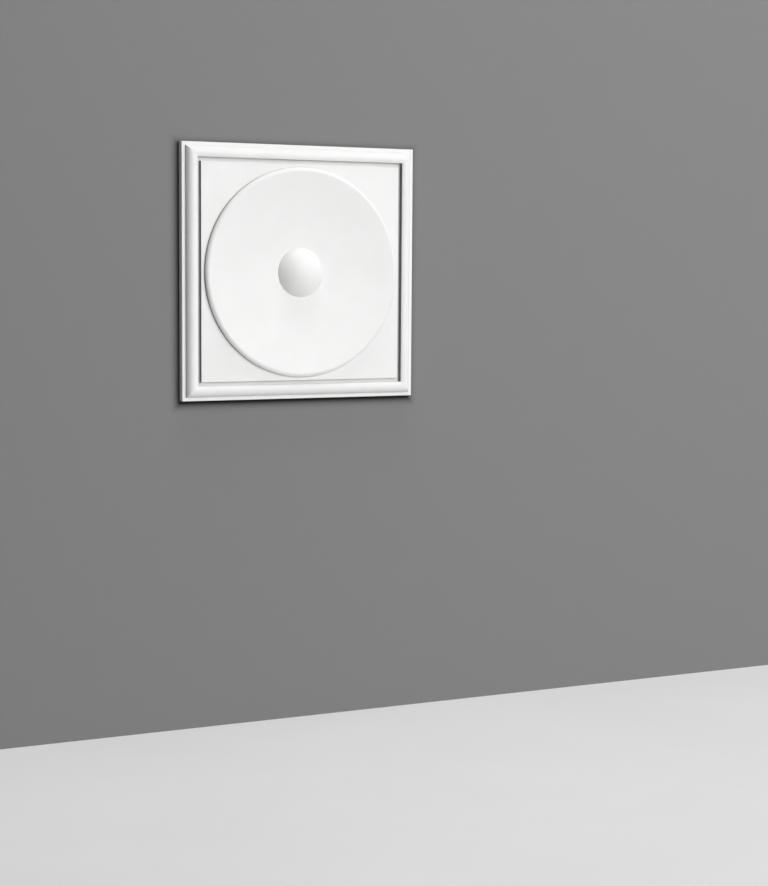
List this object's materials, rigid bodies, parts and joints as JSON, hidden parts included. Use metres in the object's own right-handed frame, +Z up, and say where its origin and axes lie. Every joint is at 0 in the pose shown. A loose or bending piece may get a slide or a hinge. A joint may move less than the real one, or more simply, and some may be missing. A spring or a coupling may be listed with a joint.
{
  "type": "three-dimensional wall panel",
  "caption": "Square moulded wall panel: a mitred bead frame and a channel round a raised field, with a dished round disc and a dome at its middle.",
  "frame": {"origin": "middle of the flat back face, on the wall", "axes": "+Y goes into the wall, so the face looks along -Y; +X runs to the right as seen from the front; +Z is up"},
  "size_m": [0.333, 0.0269, 0.333],
  "materials": {
    "primed_foam": "factory primed white, matt"
  },
  "bodies": {
    "root": {"wall_panel": "primed_foam"}
  },
  "joints": []
}
